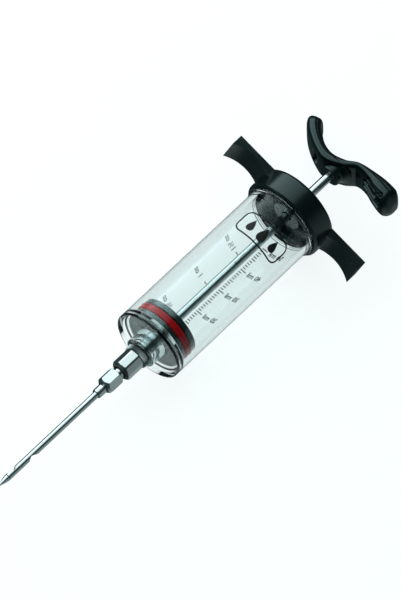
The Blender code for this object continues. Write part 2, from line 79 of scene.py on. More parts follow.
def reach(node):
    """A turned node's first x, last x and outer radius, in the axis frame."""
    low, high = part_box(node)
    return (low.x - ORIGIN.x) / MM, (high.x - ORIGIN.x) / MM, (high.z - low.z) / 2 / MM


# ---------------------------------------------------------------- materials

GRAIN_ROUGHNESS = 0.55
CLEAR_IOR = 1.5
CLEAR_GLOSS = (0.18, 0.22, 0.22, 1.0)
THICK_TINT = (0.35, 0.52, 0.52, 1.0)
THICK_DENSITY = 52.0
THROUGH_TINT = (0.93, 0.965, 0.96, 1.0)
BLACK_SHEEN = 0.34
SHEEN_TINT = (0.74, 1.0, 1.0, 1.0)


def is_socket(value):
    return isinstance(value, bpy.types.NodeSocket)


def feed(tree, socket, value):
    """Links a node's output to the socket, or sets the socket's own value."""
    if is_socket(value):
        tree.links.new(value, socket)
    else:
        socket.default_value = value


def fill(tree, node, **inputs):
    """Feeds a node's inputs by name, with _ for a space."""
    for key, value in inputs.items():
        feed(tree, node.inputs[key.replace("_", " ")], value)


def add_node(tree, kind, settings=(), **inputs):
    node = tree.nodes.new(kind)
    for key, value in dict(settings).items():
        setattr(node, key, value)
    fill(tree, node, **inputs)
    return node


def node_material(name):
    material = bpy.data.materials.new(name)
    material.use_nodes = True
    return material, material.node_tree, material.node_tree.nodes["Principled BSDF"]


def object_place(tree, stretch=(1.0, 1.0, 1.0)):
    """Object coordinates in millimetres, stretched along each axis."""
    place_in = add_node(tree, "ShaderNodeTexCoord").outputs["Object"]
    scale = [value / MM for value in stretch]
    return add_node(tree, "ShaderNodeMapping", Vector=place_in, Scale=scale).outputs[0]


def grain(tree, place_in, size, detail=4.0):
    """Noise whose features are this many millimetres across."""
    node = add_node(tree, "ShaderNodeTexNoise", Vector=place_in, Scale=1.0 / size)
    fill(tree, node, Detail=detail, Roughness=GRAIN_ROUGHNESS)
    return node.outputs["Fac"]


def spread(tree, value, low, high, start=0.3, end=0.7):
    """Maps a value between start and end to the range low to high."""
    node = add_node(tree, "ShaderNodeMapRange", Value=value)
    for i, number in enumerate((start, end, low, high)):
        node.inputs[i + 1].default_value = number
    return node.outputs[0]


def maths(tree, operation, *values):
    node = add_node(tree, "ShaderNodeMath", {"operation": operation})
    for socket, value in zip(node.inputs, values):
        feed(tree, socket, value)
    return node.outputs[0]


def tint(tree, factor, first, second):
    """A mix of two colours, each of them three numbers or another node's output."""
    node = add_node(tree, "ShaderNodeMix", {"data_type": "RGBA"}, Factor=factor)
    sockets = [socket for socket in node.inputs if socket.type == "RGBA"]
    for socket, colour in zip(sockets, (first, second)):
        feed(tree, socket, colour if is_socket(colour) else (*colour, 1.0))
    return next(socket for socket in node.outputs if socket.type == "RGBA")


def bump(tree, shader, height, distance, strength):
    """Raises the surface by up to this many millimetres."""
    node = add_node(tree, "ShaderNodeBump", Height=height)
    fill(tree, node, Strength=strength, Distance=distance * MM)
    fill(tree, shader, Normal=node.outputs[0])


def clear_plastic():
    """Polished clear plastic: tinted walls, faint moulding waves and fine rubbed patches."""
    material, tree, shader = node_material("clear_plastic")
    cloud = grain(tree, object_place(tree), 20.0)
    smears = grain(tree, object_place(tree, (0.4, 1.0, 1.0)), 3.0)
    waves = grain(tree, object_place(tree, (0.15, 1.0, 1.0)), 6.0)
    colour = tint(tree, cloud, (0.93, 0.96, 0.96), (0.90, 0.935, 0.935))
    fill(tree, shader, Base_Color=colour, Roughness=spread(tree, smears, 0.015, 0.06))
    fill(tree, shader, Transmission_Weight=1.0, IOR=CLEAR_IOR, Specular_Tint=CLEAR_GLOSS)
    bump(tree, shader, waves, 0.02, 0.3)
    # Light passes straight through to the pieces inside
    through = add_node(tree, "ShaderNodeBsdfTransparent", Color=THROUGH_TINT)
    path = add_node(tree, "ShaderNodeLightPath")
    mix = add_node(tree, "ShaderNodeMixShader")
    sources = (path.outputs["Is Shadow Ray"], shader.outputs[0], through.outputs[0])
    for socket, source in zip(mix.inputs, sources):
        feed(tree, socket, source)
    # Thick sections look greyer than thin ones
    body = add_node(tree, "ShaderNodeVolumeAbsorption", Color=THICK_TINT, Density=THICK_DENSITY)
    fill(tree, tree.nodes["Material Output"], Surface=mix.outputs[0], Volume=body.outputs[0])
    return material


def steel(name, dark, light, rough):
    """Turned and polished metal: fine rings round the axis and a little handling haze."""
    material, tree, shader = node_material(name)
    rings = grain(tree, object_place(tree, (12.0, 0.4, 0.4)), 1.0, detail=3.0)
    haze = grain(tree, object_place(tree), 4.0)
    both = maths(tree, "MULTIPLY_ADD", rings, 0.5, haze)
    fill(tree, shader, Metallic=1.0, Base_Color=tint(tree, haze, dark, light))
    fill(tree, shader, Roughness=spread(tree, both, *rough, start=0.5, end=1.0))
    bump(tree, shader, rings, 0.01, 0.25)
    return material


def black_plastic(name="black_plastic", sheen=BLACK_SHEEN):
    """Satin black moulding: spark-eroded grain, soft sheen and edges rubbed a little brighter."""
    material, tree, shader = node_material(name)
    place_in = object_place(tree)
    cloud = grain(tree, place_in, 9.0)
    edge = add_node(tree, "ShaderNodeNewGeometry").outputs["Pointiness"]
    worn = spread(tree, edge, 0.0, 1.0, start=0.52, end=0.60)
    fill(tree, shader, Base_Color=tint(tree, worn, (0.0015, 0.004, 0.004), (0.006, 0.012, 0.012)))
    fill(tree, shader, Roughness=spread(tree, cloud, 0.2, 0.3))
    fill(tree, shader, Specular_IOR_Level=sheen, Specular_Tint=SHEEN_TINT)
    bump(tree, shader, grain(tree, place_in, 0.28, detail=2.0), 0.02, 0.35)
    return material


def red_silicone():
    """Red silicone rubber, a little translucent, with dusty lighter patches."""
    material, tree, shader = node_material("red_silicone")
    place_in = object_place(tree)
    cloud = grain(tree, place_in, 2.5)
    fill(tree, shader, Base_Color=tint(tree, cloud, (0.24, 0.0004, 0.002), (0.31, 0.001, 0.004)))
    fill(tree, shader, Roughness=spread(tree, cloud, 0.32, 0.5), Specular_IOR_Level=0.08)
    fill(tree, shader, Subsurface_Weight=0.15, Subsurface_Radius=(0.8 * MM, 0.2 * MM, 0.2 * MM))
    bump(tree, shader, grain(tree, place_in, 0.5), 0.02, 0.3)
    return material


def black_rubber():
    """Matt black rubber with a dusty bloom."""
    material, tree, shader = node_material("black_rubber")
    place_in = object_place(tree)
    cloud = grain(tree, place_in, 1.5)
    fill(tree, shader, Base_Color=tint(tree, cloud, (0.012, 0.013, 0.013), (0.03, 0.031, 0.031)))
    fill(tree, shader, Roughness=spread(tree, cloud, 0.5, 0.72))
    bump(tree, shader, grain(tree, place_in, 0.2), 0.015, 0.5)
    return material


def print_ink(name, colour, rough, cover):
    """Screen-printed ink: slightly uneven colour and a broken, thinner film in places."""
    material, tree, shader = node_material(name)
    place_in = object_place(tree)
    cloud = grain(tree, place_in, 0.8)
    darker = tuple(value * 0.6 for value in colour)
    fill(tree, shader, Base_Color=tint(tree, cloud, darker, colour), Specular_IOR_Level=0.15)
    fill(tree, shader, Roughness=spread(tree, cloud, rough, rough + 0.2))
    fill(tree, shader, Alpha=spread(tree, cloud, *cover))
    bump(tree, shader, grain(tree, place_in, 0.3), 0.01, 0.3)
    return material


def painted_glow_floor():
    """A pale matt table with painted glow: its emission brightens it and washes out the shadows
    cast on it.
    """
    material, tree, shader = node_material("painted_glow_floor")
    place_in = object_place(tree)
    cloud = grain(tree, place_in, 300.0)
    fill(tree, shader, Base_Color=tint(tree, cloud, (0.19, 0.20, 0.20), (0.21, 0.22, 0.22)))
    fill(tree, shader, Roughness=0.9, Specular_IOR_Level=0.1, Emission_Color=(0.97, 1.0, 1.0, 1.0))
    # Painted glow: emission, full in a pool under the injector and fading further out
    away = add_node(tree, "ShaderNodeVectorMath", {"operation": "LENGTH"}, Vector=place_in)
    ends = {"start": FLOOR_POOL, "end": FLOOR_POOL_END}
    glow = spread(tree, away.outputs["Value"], FLOOR_GLOW, FLOOR_GLOW_FAR, **ends)
    # Seen directly the table is evenly pale; what it throws comes from the pool under the injector
    seen = add_node(tree, "ShaderNodeLightPath").outputs["Is Camera Ray"]
    even = add_node(tree, "ShaderNodeMix", Factor=seen, A=glow, B=FLOOR_GLOW)
    fill(tree, shader, Emission_Strength=even.outputs[0])
    return material


# ---------------------------------------------------------------- shape tools


def rounded(profile, radius=0.3, steps=3):
    """The closed outline with each corner off the axis turned into a small curve."""
    result = []
    count = len(profile)
    for i, corner in enumerate(profile):
        here = Vector(corner)
        before = Vector(profile[i - 1]) - here
        after = Vector(profile[(i + 1) % count]) - here
        if here.y < ON_AXIS:
            result.append(tuple(here))
            continue
        cut = min(radius, 0.45 * before.length, 0.45 * after.length)
        start = here + before.normalized() * cut
        end = here + after.normalized() * cut
        for k in range(steps + 1):
            t = k / steps
            result.append(tuple(start * (1 - t) ** 2 + here * 2 * t * (1 - t) + end * t * t))
    return result


def dense(profile, step):
    """The closed outline with points no further apart than this."""
    result = []
    for i, corner in enumerate(profile):
        here, following = Vector(corner), Vector(profile[(i + 1) % len(profile)])
        pieces = max(1, math.ceil((following - here).length / step))
        if here.y < ON_AXIS and following.y < ON_AXIS:
            pieces = 1
        result += [tuple(here.lerp(following, k / pieces)) for k in range(pieces)]
    return result


def lathe(profile, sides=96, shape=None):
    """A solid turned about the axis. shape(x, r, angle) gives its radius, for flats or teeth."""
    verts, rows, faces = [], [], []
    for x, r in profile:
        row = []
        for i in range(sides if r > ON_AXIS else 1):
            angle = math.tau * i / sides
            radius = shape(x, r, angle) if shape and r > ON_AXIS else r
            row.append(len(verts))
            verts.append((x, -radius * math.sin(angle), radius * math.cos(angle)))
        rows.append(row)
    for first, second in zip(rows, rows[1:] + rows[:1]):
        for i in range(sides):
            j = (i + 1) % sides
            ring = [first[i % len(first)], first[j % len(first)]]
            ring += [second[j % len(second)], second[i % len(second)]]
            ring = list(dict.fromkeys(ring))
            if len(ring) > 2:
                faces.append(ring)
    return verts, faces


def prism(outline, low, high):
    """An upright solid over the closed (x, y) outline."""
    count = len(outline)
    verts = [(x, y, z) for z in (low, high) for x, y in outline]
    faces = [tuple(range(count))[::-1], tuple(range(count, 2 * count))]
    faces += [(i, (i + 1) % count, count + (i + 1) % count, count + i) for i in range(count)]
    return verts, faces


def flats(sides, width, turn=0.0):
    """A shape for lathe(): flats this far apart, whose first corner is turned from straight up."""
    half = math.pi / sides

    def limit(x, r, angle):
        off = (angle - math.radians(turn)) % (2 * half) - half
        return min(r, width / 2 / math.cos(off))

    return limit


def new_object(name, points, faces, weld):
    """A mesh object with doubled points joined and its faces turned outwards."""
    mesh = bpy.data.meshes.new(name)
    mesh.from_pydata(points, [], faces)
    clean = bmesh.new()
    clean.from_mesh(mesh)
    bmesh.ops.remove_doubles(clean, verts=clean.verts, dist=weld)
    bmesh.ops.recalc_face_normals(clean, faces=clean.faces)
    clean.to_mesh(mesh)
    clean.free()
    obj = bpy.data.objects.new(name, mesh)
    bpy.context.scene.collection.objects.link(obj)
    return obj


def place(name, solid, body, finish, replaced=None, turned=False, smooth=True):
    """Makes one piece from axis-frame millimetres and hands it to its body.

    finish is a slot name, which is not used, and the material. A turned piece follows the handle's
    resting turn.
    """
    verts, faces = solid
    slot, material = finish
    turn = PLUNGER_TURN if turned else Matrix.Identity(4)
    obj = new_object(name, [turn @ (Vector(v) * MM) for v in verts], faces, WELD)
    obj.location = ORIGIN
    obj.data.materials.append(material)
    if smooth:
        obj.data.shade_smooth()
        obj.data.set_sharp_from_angle(angle=SHARP)
        weigh = obj.modifiers.new("even_shading", "WEIGHTED_NORMAL")
        weigh.keep_sharp = True
    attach(obj, body)
    if replaced:
        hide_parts(replaced)


def helper(name, solid):
    """A temporary object for a Boolean, in axis-frame metres."""
    verts, faces = solid
    return new_object(name, [Vector(v) * MM for v in verts], faces, TOOL_WELD)


def merged(base, others, bevel=0.0):
    """Applies (solid, operation) Booleans to base, then bevels its edges by this much."""
    target = helper("base", base)
    tools = []
    for i, (solid, operation) in enumerate(others):
        tool = helper(f"tool_{i}", solid)
        modifier = target.modifiers.new(tool.name, "BOOLEAN")
        modifier.operation = operation
        modifier.object = tool
        tools.append(tool)
    if bevel:
        edge = target.modifiers.new("edge", "BEVEL")
        edge.width = bevel * MM
        edge.segments = 3
        edge.limit_method = "ANGLE"
        edge.angle_limit = BEVEL_FROM
    graph = bpy.context.evaluated_depsgraph_get()
    result = bpy.data.meshes.new_from_object(target.evaluated_get(graph))
    verts = [tuple(v.co / MM) for v in result.vertices]
    faces = [tuple(p.vertices) for p in result.polygons]
    for obj in [target, *tools]:
        bpy.data.objects.remove(obj)
    return verts, faces


# ---------------------------------------------------------------- barrel

BARREL_R = 17.2
BORE_R = 15.0
BOSS_R = 7.3
BOSS_X = -4.8
WALL_X = 4.3
RECESS_X = 3.0
RIM_INNER_R = 15.5
RIM_OUTER_R = 16.8
RIM_CHAMFER_X = 1.6
SHANK_HOLE_R = 3.7
SEAT_R = 5.3
SEAT_X = -3.6
BEAD_X = (83.7, 83.9, 84.7, 84.9)
BEAD_R = 18.2
PLAIN_END_X = 86.0
SCREW_X = (85.2, 91.6)
SCREW_STEPS = 52
LIP = 0.4
RIDGE_FROM_X = 85.0
THREAD = {"start": 86.6, "pitch": 3.0, "turns": 1.4, "rise": 0.5, "foot": 0.9, "crest": 0.36}
THREAD_FADE = 6.0  # how fast the ridge rises at its ends, as full heights for each turn


def thread_rise(x, angle, thread):
    """How far the helical ridge stands out of the wall at this place along and round the axis."""
    rise = 0.0
    turns = int(thread["turns"]) + 2
    for k in range(turns):
        share = k + angle / math.tau
        if not 0.0 <= share <= thread["turns"]:
            continue
        centre = thread["start"] + thread["pitch"] * share
        off = abs(x - centre)
        slope = (thread["foot"] - off) / (thread["foot"] - thread["crest"])
        fade = min(1.0, THREAD_FADE * min(share, thread["turns"] - share))
        rise = max(rise, thread["rise"] * fade * max(0.0, min(1.0, slope)))
    return rise


def build_barrel(clear):
    front = rounded(
        [
            (PLAIN_END_X, BORE_R),
            (WALL_X, BORE_R),
            (WALL_X, SHANK_HOLE_R),
            (SEAT_X, SHANK_HOLE_R),
            (SEAT_X, SEAT_R),
            (BOSS_X, SEAT_R),
            (BOSS_X, BOSS_R),
            (RECESS_X, BOSS_R),
            (RECESS_X, RIM_INNER_R),
            (RIM_CHAMFER_X, RIM_INNER_R),
            (0.0, RIM_OUTER_R),
            (0.1, BARREL_R),
            (BEAD_X[0], BARREL_R),
            (BEAD_X[1], BEAD_R),
            (BEAD_X[2], BEAD_R),
            (BEAD_X[3], BARREL_R),
        ],
        0.35,
    )
    start, end = SCREW_X
    back = [
        (start + (end - start) * k / SCREW_STEPS, BARREL_R) for k in range(SCREW_STEPS + 1)
    ]
    lip = [(BARREL_LENGTH, BARREL_R - LIP), (BARREL_LENGTH, BORE_R + LIP), (end, BORE_R)]

    def ridge(x, r, angle):
        on_screw = r > BARREL_R - 0.01 and x > RIDGE_FROM_X
        return r + (thread_rise(x, angle, THREAD) if on_screw else 0.0)

    place("barrel_shell", lathe(front + back + lip, 160, ridge), "barrel", clear, "barrel")


# ---------------------------------------------------------------- printing on the barrel

INK_LIFT = 0.02
INK_DEPTH = 0.03
ZERO_X = 6.4
ML_PITCH = 1.413
OUNCE_ML = 14.2
OUNCE_WORDS = ("½ oz", "1 oz", "1½ oz")
LETTER_HEIGHT = 2.7
CURVE_SIZE = 1.4  # a text curve's size for each unit of letter height
ML_BOLD = 0.11
OUNCE_BOLD = 0.05
LONG_EDGE = 0.6  # longer edges are cut, so that letters bend round the barrel
TICK_WIDTH = 0.48
TICK_LENGTHS = {10: 3.2, 5: 2.2, 1: 1.7}  # by how many millilitres the tick counts
OUNCE_TICK = 2.2
TICK_START = 2.6  # from the line under the barrel, in millimetres round it
ML_TURN = math.radians(38.0)
OUNCE_TURN = math.radians(36.0)


def wrapped(flat_points, centre_x, centre_angle):
    """Carries flat print on to the barrel: across goes round it, up goes along it."""
    result = []
    for across, up, lift in flat_points:
        angle = centre_angle + across / BARREL_R
        r = BARREL_R + INK_LIFT + lift
        result.append((centre_x + up, -r * math.sin(angle), r * math.cos(angle)))
    return result


def flat_text(words, bold):
    """Lettering as (points, faces), centred, in millimetres: x across and y up."""
    curve = bpy.data.curves.new("letters", "FONT")
    curve.body = words
    curve.size = LETTER_HEIGHT * CURVE_SIZE
    curve.align_x = "CENTER"
    curve.align_y = "CENTER"
    curve.offset = bold
    curve.resolution_u = 4
    obj = bpy.data.objects.new("letters", curve)
    bpy.context.scene.collection.objects.link(obj)
    graph = bpy.context.evaluated_depsgraph_get()
    mesh = bpy.data.meshes.new_from_object(obj.evaluated_get(graph))
    bpy.data.objects.remove(obj)
    flat = bmesh.new()
    flat.from_mesh(mesh)
    bmesh.ops.triangulate(flat, faces=flat.faces)
    long_edges = [e for e in flat.edges if e.calc_length() > LONG_EDGE]
    bmesh.ops.subdivide_edges(flat, edges=long_edges, cuts=2)
    bmesh.ops.triangulate(flat, faces=flat.faces)
    points = [tuple(v.co) for v in flat.verts]
    index = {v: i for i, v in enumerate(flat.verts)}
    faces = [tuple(index[v] for v in f.verts) for f in flat.faces]
    flat.free()
    return points, faces


def stroke(points, width, closed=False):
    """A flat line of this width along (across, up) points."""
    count = len(points)
    left, right = [], []
    for i, point in enumerate(points):
        before = Vector(points[i - 1] if closed or i else point)
        after = Vector(points[(i + 1) % count] if closed or i < count - 1 else point)
        along = (after - before).normalized()
        side = Vector((-along.y, along.x)) * width / 2
        here = Vector(point)
        left.append((*(here + side), 0.0))
        right.append((*(here - side), 0.0))
    faces = []
    for i in range(count if closed else count - 1):
        j = (i + 1) % count
        faces.append((i, j, count + j, count + i))
    return left + right, faces


def disc(outline):
    """A flat shape filled from its middle."""
    centre = sum((Vector(p) for p in outline), Vector((0.0, 0.0))) / len(outline)
    points = [(*centre, 0.0)] + [(x, y, 0.0) for x, y in outline]
    count = len(outline)
    return points, [(0, 1 + i, 1 + (i + 1) % count) for i in range(count)]


def thick(points, faces):
    """Gives flat print its film thickness."""
    count = len(points)
    upper = [(x, y, INK_DEPTH) for x, y, _ in points]
    sides = []
    edges = {}
    for face in faces:
        for a, b in zip(face, face[1:] + face[:1]):
            edges.setdefault(frozenset((a, b)), []).append((a, b))
    for found in edges.values():
        if len(found) == 1:
            a, b = found[0]
            sides.append((a, b, b + count, a + count))
    top = [tuple(i + count for i in face) for face in faces]
    return list(points) + upper, [tuple(face[::-1]) for face in faces] + top + sides


def join(parts):
    """Several (points, faces) as one."""
    verts, faces = [], []
    for points, polygons in parts:
        base = len(verts)
        verts += points
        faces += [tuple(i + base for i in face) for face in polygons]
    return verts, faces


def printed(shape, centre_x, centre_angle):
    """A flat shape as a film of ink on the barrel."""
    points, faces = thick(*shape)
    return wrapped(points, centre_x, centre_angle), faces


def build_scale(ink):
    """The scale on the barrel's underside: millilitres on one side and ounces on the other."""
    below = math.pi
    parts = []
    for ml in range(1, 51):
        length = next(long for each, long in TICK_LENGTHS.items() if ml % each == 0)
        tick = stroke([(0.0, 0.0), (-length, 0.0)], TICK_WIDTH)
        parts.append(printed(tick, ZERO_X + ML_PITCH * ml, below - TICK_START / BARREL_R))
    for ml in range(10, 51, 10):
        words = flat_text(f"{ml} ml", ML_BOLD)
        parts.append(printed(words, ZERO_X + ML_PITCH * ml, below - ML_TURN))
    for half_ounces, words in enumerate(OUNCE_WORDS, 1):
        x = ZERO_X + ML_PITCH * OUNCE_ML * half_ounces
        tick = stroke([(0.0, 0.0), (OUNCE_TICK, 0.0)], TICK_WIDTH)
        parts.append(printed(tick, x, below + TICK_START / BARREL_R))
        parts.append(printed(flat_text(words, OUNCE_BOLD), x, below + OUNCE_TURN))
    place("scale_print", join(parts), "barrel", ink, smooth=False)


def rounded_box(width, height, corner, steps=8):
    """The outline of a box with round corners."""
    points = []
    for cx, cy, start in ((1, 1, 0), (-1, 1, 90), (-1, -1, 180), (1, -1, 270)):
        for k in range(steps + 1):
            angle = math.radians(start + 90 * k / steps)
            x = cx * (width / 2 - corner) + corner * math.cos(angle)
            y = cy * (height / 2 - corner) + corner * math.sin(angle)
            points.append((x, y))
    return points


def finer(points, step=0.5):
    """The closed outline with more points on its straight runs, to bend round the barrel."""
    result = []
    for i, point in enumerate(points):
        here, following = Vector(point), Vector(points[(i + 1) % len(points)])
        count = max(1, math.ceil((following - here).length / step))
        result += [tuple(here.lerp(following, k / count)) for k in range(count)]
    return result


DROP_TAPER = 1.6
DROP_WIDTH = 0.5  # as a share of its size, as the height is
DROP_HEIGHT = 0.62


def drop_outline(size, steps=28):
    """A marinade drop: round below, pointed above."""
    points = []
    for k in range(steps):
        t = math.tau * k / steps
        side = math.sin(t) * math.sin(t / 2) ** DROP_TAPER
        points.append((size * DROP_WIDTH * side, size * DROP_HEIGHT * math.cos(t)))
    return points


BADGE_X = 67.0
BADGE_WIDTH = 25.0
BADGE_HEIGHT = 11.0
BADGE_CORNER = 3.2
BADGE_LINE = 0.75
DROP_PITCH = 6.6
DROP_SIZES = (5.2, 6.4, 5.2)


def build_badge(ink):
    """A plain badge on the barrel's upper side: three drops in a rounded frame."""
    frame_line = finer(rounded_box(BADGE_WIDTH, BADGE_HEIGHT, BADGE_CORNER))
    parts = [printed(stroke(frame_line, BADGE_LINE, closed=True), BADGE_X, 0.0)]
    for column, size in zip((-1, 0, 1), DROP_SIZES):
        outline = [(x + column * DROP_PITCH, y) for x, y in drop_outline(size)]
        parts.append(printed(disc(outline), BADGE_X, 0.0))
    place("badge_print", join(parts), "barrel", ink, smooth=False)


# ---------------------------------------------------------------- needle and nozzle


NOZZLE_R = 5.1
NOZZLE_NOSE_R = 4.5
NOZZLE_X = (-17.0, -8.3)
NOZZLE_NOSE_X = -16.4
NOZZLE_FLATS = 9.7
NOZZLE_TURN = 9.0
MOUTH_R = 4.2
MOUTH_X = -16.3
SOCKET_R = 3.8
SOCKET_END_X = -11.0
SHANK_R = 3.4
SHANK_END_X = 4.0
FLOW_R = 1.2
RING_R = 5.8
RING_BORE_R = 3.7
RING_CHAMFER = 0.45
TEETH = 48
TOOTH_DEPTH = 0.4
TOOTH_ROOT = (1.0, 0.5)  # how far under the ring's outside the teeth fade in


def build_nozzle(bright, knurled):
    front, back = NOZZLE_X
    profile = [
        (MOUTH_X, MOUTH_R),
        (front, MOUTH_R),
        (front, NOZZLE_NOSE_R),
        (NOZZLE_NOSE_X, NOZZLE_R),
        (back, NOZZLE_R),
        (back, SHANK_R),
        (SHANK_END_X, SHANK_R),
        (SHANK_END_X, FLOW_R),
        (SOCKET_END_X, FLOW_R),
        (SOCKET_END_X, SOCKET_R),
        (MOUTH_X, SOCKET_R),
    ]
    shape = flats(8, NOZZLE_FLATS, NOZZLE_TURN)
    body = lathe(dense(rounded(profile, 0.12), 0.25), 160, shape)
    place("nozzle_body", body, "barrel", bright, "nozzle")

    def knurl(x, r, angle):
        low, high = (RING_R - under for under in TOOTH_ROOT)
        if r < low:
            return r
        wave = 0.5 + 0.5 * math.cos(TEETH * angle)
        return r - TOOTH_DEPTH * (1.0 - wave) * step_up(r, low, high)

    x0, x1, _ = reach("lock_ring")
    ring = [
        (x0, RING_BORE_R),
        (x0, RING_R - RING_CHAMFER),
        (x0 + RING_CHAMFER, RING_R),
        (x1 - RING_CHAMFER, RING_R),
        (x1, RING_R - RING_CHAMFER),
        (x1, RING_BORE_R),
    ]
    solid = lathe(dense(rounded(ring, 0.12), 0.3), TEETH * 8, knurl)
    place("lock_ring_knurled", solid, "barrel", knurled, "lock_ring")


NEEDLE_R = 1.53
NEEDLE_BORE_R = 1.05
PORTS = ((-84.9, 1), (-73.4, -1))  # where each port's middle is, and on which side
PORT_LENGTH = 5.4
PORT_DEPTH = 1.25
PORT_REACH = 4.0
PORT_STEPS = 96
CONE_X = -88.5
CONE_STEPS = 14
CONE_CURVE = 1.35
TIP_BLUNT = (0.05, 0.1)
TIP_SHANK_R = 0.75
SLEEVE_BORE_R = 1.68
SLEEVE_R = 2.3
SLEEVE_END_R = 2.0
HUB_NOSE_R = 2.95
HUB_R = 4.35
HUB_CONE = 1.4
HUB_FLATS = 7.5
HUB_TURN = 9.5
HEX_END_X = -19.6
HEX_END_R = 3.55
HEX_CHAMFER = 0.8
NECK_R = 2.6
NEEDLE_SCREW_X = -16.1
NEEDLE_SCREW_R = 3.5


def port_tool(centre_x, side):
    """A round cutter that scoops a lens-shaped port out of one side of the needle."""
    radius = (PORT_LENGTH**2 / 4 + PORT_DEPTH**2) / (2 * PORT_DEPTH)
    centre_y = side * (NEEDLE_R - PORT_DEPTH + radius)
    angles = [math.tau * i / PORT_STEPS for i in range(PORT_STEPS)]
    outline = [(centre_x + radius * math.cos(a), centre_y + radius * math.sin(a)) for a in angles]
    return prism(outline, -PORT_REACH, PORT_REACH)


def build_needle(bright):
    x0, x1, _ = reach("needle_tube")
    wall = [(x0, NEEDLE_BORE_R), (x0, NEEDLE_R), (x1, NEEDLE_R), (x1, NEEDLE_BORE_R)]
    ports = [(port_tool(x, side), "DIFFERENCE") for x, side in PORTS]
    tube = merged(lathe(rounded(wall, 0.12), 64), ports)
    place("needle_tube_drawn", tube, "needle", bright, "needle_tube")

    tip_x, end_x, _ = reach("needle_tip")
    point = [(tip_x, 0.0), (tip_x + TIP_BLUNT[0], TIP_BLUNT[1])]
    for k in range(1, CONE_STEPS + 1):
        t = k / CONE_STEPS
        point.append((tip_x + (CONE_X - tip_x) * t, NEEDLE_R * (1.0 - (1.0 - t) ** CONE_CURVE)))
    point += [(CONE_X, TIP_SHANK_R), (end_x, TIP_SHANK_R), (end_x, 0.0)]
    place("needle_point", lathe(point, 64), "needle", bright, "needle_tip")

    x0, x1, _ = reach("needle_sleeve")
    sleeve = [
        (x0, SLEEVE_BORE_R),
        (x0, SLEEVE_END_R),
        (x0 + 0.4, SLEEVE_R),
        (x1 - 0.3, SLEEVE_R),
        (x1, SLEEVE_END_R),
        (x1, SLEEVE_BORE_R),
    ]
    place("needle_collar", lathe(rounded(sleeve, 0.15), 64), "needle", bright, "needle_sleeve")

    x0, x1, _ = reach("needle_hub")
    hub = [
        (x0, SLEEVE_BORE_R),
        (x0, HUB_NOSE_R),
        (x0 + HUB_CONE, HUB_R),
        (HEX_END_X - HEX_CHAMFER, HUB_R),
        (HEX_END_X, HEX_END_R),
        (HEX_END_X, NECK_R),
        (NEEDLE_SCREW_X, NECK_R),
        (NEEDLE_SCREW_X, NEEDLE_SCREW_R),
        (x1, NEEDLE_SCREW_R),
        (x1, SLEEVE_BORE_R),
    ]
    solid = lathe(dense(rounded(hub, 0.12), 0.22), 144, flats(6, HUB_FLATS, HUB_TURN))
    place("needle_hub_turned", solid, "needle", bright, "needle_hub")


def build_ring(rubber):
    """The O-ring that the needle's hub squeezes against the nozzle."""
    x0, x1, outer = reach("needle_ring")
    radius = (x1 - x0) / 2
    steps = 24
    section = []
    for k in range(steps):
        turn = math.tau * k / steps
        across = outer - radius + radius * math.sin(turn)
        section.append((x0 + radius + radius * math.cos(turn), across))
    place("needle_o_ring", lathe(section, 96), "needle_seal", rubber, "needle_ring")


# ---------------------------------------------------------------- plunger


PLATE_R = 14.3
PLATE_HUB_R = 4.0
SPIGOT_R = 1.8
PLATE_SEAL_GAP = 0.3
SEAL_BORE_R = 7.3
SEAL_GROOVE = 0.7
WASHER_R = 4.6
ROD_R = 2.1
ROD_END_R = 1.5


def build_piston(plastic, silicone, bright):
    x0 = reach("piston_front_plate")[0]
    seal_x0, seal_x1, seal_r = reach("piston_seal")
    edge = seal_x0 - PLATE_SEAL_GAP
    front = [
        (x0, 0.0),
        (x0, PLATE_R - 0.5),
        (x0 + 0.4, PLATE_R),
        (edge, PLATE_R),
        (edge, PLATE_HUB_R),
        (seal_x1, PLATE_HUB_R),
        (seal_x1, SPIGOT_R),
        (edge, SPIGOT_R),
        (edge, 0.0),
    ]
    solid = lathe(rounded(front, 0.2), 128)
    place("piston_face", solid, "plunger", plastic, "piston_front_plate", True)

    lip = (seal_x1 - seal_x0) / 4
    groove_r = seal_r - SEAL_GROOVE
    seal = [
        (seal_x0, SEAL_BORE_R),
        (seal_x0, groove_r),
        (seal_x0 + lip / 2, seal_r),
        (seal_x0 + lip, seal_r),
        (seal_x0 + 2 * lip, groove_r),
        (seal_x1 - lip, seal_r),
        (seal_x1 - lip / 2, seal_r),
        (seal_x1, groove_r),
        (seal_x1, SEAL_BORE_R),
    ]
    solid = lathe(rounded(seal, 0.35), 128)
    place("piston_seal_ring", solid, "piston", silicone, "piston_seal")

    x0, x1, _ = reach("piston_back_plate")
    back = [
        (x0, SPIGOT_R),
        (x0, PLATE_R - 0.4),
        (x0 + 0.4, PLATE_R),
        (x1 - 0.4, PLATE_R),
        (x1, PLATE_R - 0.4),
        (x1, SPIGOT_R),
    ]
    solid = lathe(rounded(back, 0.25), 128)
    place("piston_back", solid, "plunger", plastic, "piston_back_plate", True)

    x0, x1, _ = reach("piston_washer")
    washer = [(x0, SPIGOT_R), (x0, WASHER_R), (x1, WASHER_R), (x1, SPIGOT_R)]
    solid = lathe(rounded(washer, 0.15), 64)
    place("piston_washer_pressed", solid, "plunger", bright, "piston_washer", True)
    shoulder = x1 + 0.3

    x0, x1, _ = reach("plunger_rod")
    rod = [
        (x0, 0.0),
        (x0, ROD_END_R),
        (shoulder, ROD_END_R),
        (shoulder, ROD_R),
        (x1, ROD_R),
        (x1, 0.0),
    ]
    solid = lathe(rounded(rod, 0.2), 64)
    place("plunger_rod_ground", solid, "plunger", bright, "plunger_rod", True)


# ---------------------------------------------------------------- finger cap

